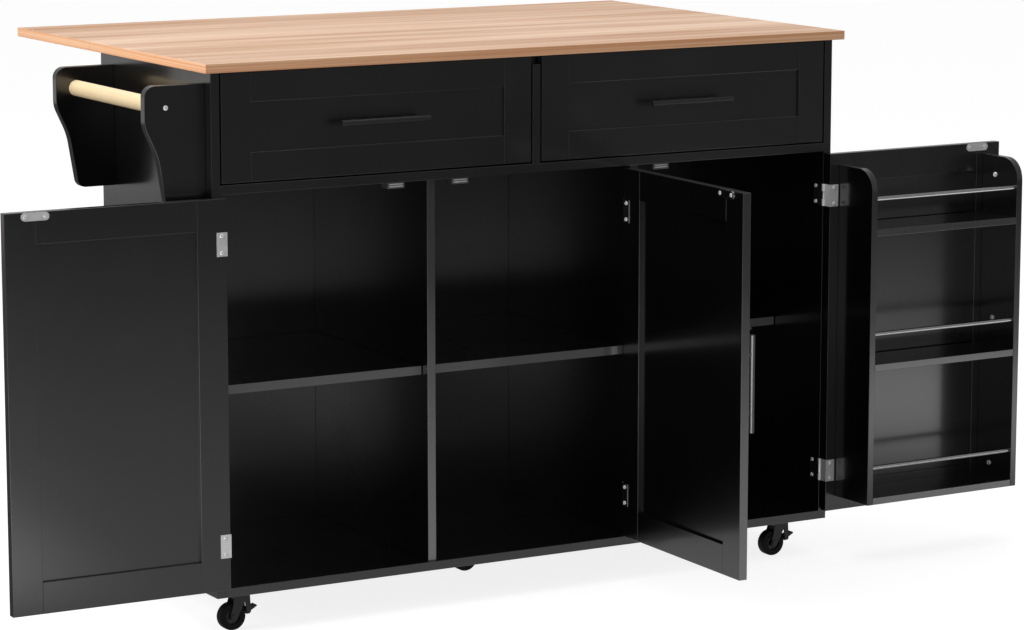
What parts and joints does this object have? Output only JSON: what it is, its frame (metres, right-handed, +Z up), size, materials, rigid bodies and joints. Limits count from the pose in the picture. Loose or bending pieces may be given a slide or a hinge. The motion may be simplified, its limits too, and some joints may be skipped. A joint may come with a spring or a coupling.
{
  "type": "rolling kitchen cart",
  "caption": "Black kitchen cart on casters with a pale wood top and drop leaf, framed doors and drawers, open bays with shelves, a spice rack inside a door and a towel rail.",
  "frame": {"origin": "on the floor under the middle of the whole box, with the doors as the picture shows them", "axes": "+X to the cart's right seen from the front, +Y to the back, +Z up"},
  "size_m": [1.8792, 1.1202, 0.92],
  "materials": {
    "black_board": "semi-gloss black paint on fibreboard",
    "worktop_wood": "pale wood with a clear satin coat",
    "dowel_wood": "sanded pale hardwood",
    "black_metal": "black powder coat",
    "bright_steel": "bright zinc plate",
    "rod_metal": "polished rod",
    "catch_plastic": "moulded plastic",
    "caster_metal": "black coated pressed steel",
    "wheel_rubber": "dull black tread"
  },
  "bodies": {
    "cabinet": {"worktop": "worktop_wood", "side_panel_left": "black_board", "side_panel_right": "black_board", "bottom_board": "black_board", "deck_board": "black_board", "divider_left": "black_board", "divider_right": "black_board", "drawer_divider": "black_board", "back_panel": "black_board", "top_stretchers": "black_board", "full_shelves": "black_board", "short_shelf": "black_board", "shelf_supports": "bright_steel", "towel_arm_front": "black_board", "towel_arm_rear": "black_board", "towel_dowel": "dowel_wood", "towel_rail_screws": "bright_steel", "drawer_runner_channels": "bright_steel", "magnetic_catches": "catch_plastic", "caster_plates": "caster_metal", "door_hinge_panel_leaves": "bright_steel", "leaf_hinge_fixed_plates": "bright_steel", "stay_brackets": "bright_steel"},
    "leaf": {"drop_leaf": "worktop_wood", "leaf_hinge_moving_plates": "bright_steel"},
    "stay_left": {"leaf_stay_left": "bright_steel"},
    "stay_right": {"leaf_stay_right": "bright_steel"},
    "left_door": {"left_door": "black_board", "left_door_handle": "black_metal", "left_door_fittings": "bright_steel"},
    "middle_door": {"middle_door": "black_board", "middle_door_handle": "black_metal", "middle_door_fittings": "bright_steel"},
    "right_door": {"right_door": "black_board", "right_door_handle": "black_metal", "right_door_fittings": "bright_steel", "rack_sides": "black_board", "rack_boards": "black_board", "rack_rods": "rod_metal", "rack_fixings": "bright_steel"},
    "left_drawer": {"left_drawer_front": "black_board", "left_drawer_box": "black_board", "left_drawer_handle": "black_metal", "left_drawer_rails": "bright_steel"},
    "right_drawer": {"right_drawer_front": "black_board", "right_drawer_box": "black_board", "right_drawer_handle": "black_metal", "right_drawer_rails": "bright_steel"},
    "front_left_swivel": {"front_left_fork": "caster_metal"},
    "front_left_roller": {"front_left_wheel": "wheel_rubber"},
    "front_left_brake": {"front_left_brake_lever": "caster_metal"},
    "front_right_swivel": {"front_right_fork": "caster_metal"},
    "front_right_roller": {"front_right_wheel": "wheel_rubber"},
    "front_right_brake": {"front_right_brake_lever": "caster_metal"},
    "middle_swivel": {"middle_fork": "caster_metal"},
    "middle_roller": {"middle_wheel": "wheel_rubber"},
    "rear_left_swivel": {"rear_left_fork": "caster_metal"},
    "rear_left_roller": {"rear_left_wheel": "wheel_rubber"},
    "rear_right_swivel": {"rear_right_fork": "caster_metal"},
    "rear_right_roller": {"rear_right_wheel": "wheel_rubber"}
  },
  "joints": [
    {"name": "left_door_hinge", "type": "hinge", "parent": "cabinet", "child": "left_door", "pos_m": [-0.5708, -0.19164, 0.396], "axis": [0, 0, 1], "range_deg": [0, 181]},
    {"name": "middle_door_hinge", "type": "hinge", "parent": "cabinet", "child": "middle_door", "pos_m": [0.18447, -0.19164, 0.396], "axis": [0, 0, -1], "range_deg": [-31, 89]},
    {"name": "right_door_hinge", "type": "hinge", "parent": "cabinet", "child": "right_door", "pos_m": [0.5708, -0.19164, 0.396], "axis": [0, 0, -1], "range_deg": [0, 181]},
    {"name": "left_drawer_slide", "type": "slide", "parent": "cabinet", "child": "left_drawer", "axis": [0, -1, 0], "range_m": [0, 0.3]},
    {"name": "right_drawer_slide", "type": "slide", "parent": "cabinet", "child": "right_drawer", "axis": [0, -1, 0], "range_m": [0, 0.3]},
    {"name": "leaf_hinge", "type": "hinge", "parent": "cabinet", "child": "leaf", "pos_m": [0, 0.24856, 0.9022], "axis": [-1, 0, 0], "range_deg": [0, 90]},
    {"name": "stay_left_fold", "type": "hinge", "parent": "cabinet", "child": "stay_left", "pos_m": [-0.33, 0.24306, 0.765], "axis": [-1, 0, 0], "range_deg": [0, 136]},
    {"name": "stay_right_fold", "type": "hinge", "parent": "cabinet", "child": "stay_right", "pos_m": [0.33, 0.24306, 0.765], "axis": [-1, 0, 0], "range_deg": [0, 136]},
    {"name": "front_left_turn", "type": "hinge", "parent": "cabinet", "child": "front_left_swivel", "pos_m": [-0.5225, -0.14394, 0.065], "axis": [0, 0, 1], "continuous": true},
    {"name": "front_left_roll", "type": "hinge", "parent": "front_left_swivel", "child": "front_left_roller", "pos_m": [-0.5425, -0.14394, 0.0225], "axis": [0, 1, 0], "continuous": true},
    {"name": "front_left_brake_press", "type": "hinge", "parent": "front_left_swivel", "child": "front_left_brake", "pos_m": [-0.51632, -0.14394, 0.02951], "axis": [0, 1, 0], "range_deg": [0, 18]},
    {"name": "front_right_turn", "type": "hinge", "parent": "cabinet", "child": "front_right_swivel", "pos_m": [0.5225, -0.14394, 0.065], "axis": [0, 0, 1], "continuous": true},
    {"name": "front_right_roll", "type": "hinge", "parent": "front_right_swivel", "child": "front_right_roller", "pos_m": [0.5025, -0.14394, 0.0225], "axis": [0, 1, 0], "continuous": true},
    {"name": "front_right_brake_press", "type": "hinge", "parent": "front_right_swivel", "child": "front_right_brake", "pos_m": [0.52868, -0.14394, 0.02951], "axis": [0, 1, 0], "range_deg": [0, 18]},
    {"name": "middle_turn", "type": "hinge", "parent": "cabinet", "child": "middle_swivel", "pos_m": [0, 0.02356, 0.065], "axis": [0, 0, 1], "continuous": true},
    {"name": "middle_roll", "type": "hinge", "parent": "middle_swivel", "child": "middle_roller", "pos_m": [-0.02, 0.02356, 0.0225], "axis": [0, 1, 0], "continuous": true},
    {"name": "rear_left_turn", "type": "hinge", "parent": "cabinet", "child": "rear_left_swivel", "pos_m": [-0.5225, 0.19106, 0.065], "axis": [0, 0, 1], "continuous": true},
    {"name": "rear_left_roll", "type": "hinge", "parent": "rear_left_swivel", "child": "rear_left_roller", "pos_m": [-0.5425, 0.19106, 0.0225], "axis": [0, 1, 0], "continuous": true},
    {"name": "rear_right_turn", "type": "hinge", "parent": "cabinet", "child": "rear_right_swivel", "pos_m": [0.5225, 0.19106, 0.065], "axis": [0, 0, 1], "continuous": true},
    {"name": "rear_right_roll", "type": "hinge", "parent": "rear_right_swivel", "child": "rear_right_roller", "pos_m": [0.5025, 0.19106, 0.0225], "axis": [0, 1, 0], "continuous": true}
  ],
  "couplings": [
    {"joint": "stay_left_fold", "follows": "leaf_hinge", "ratio": 1.5111},
    {"joint": "stay_right_fold", "follows": "leaf_hinge", "ratio": 1.5111}
  ]
}
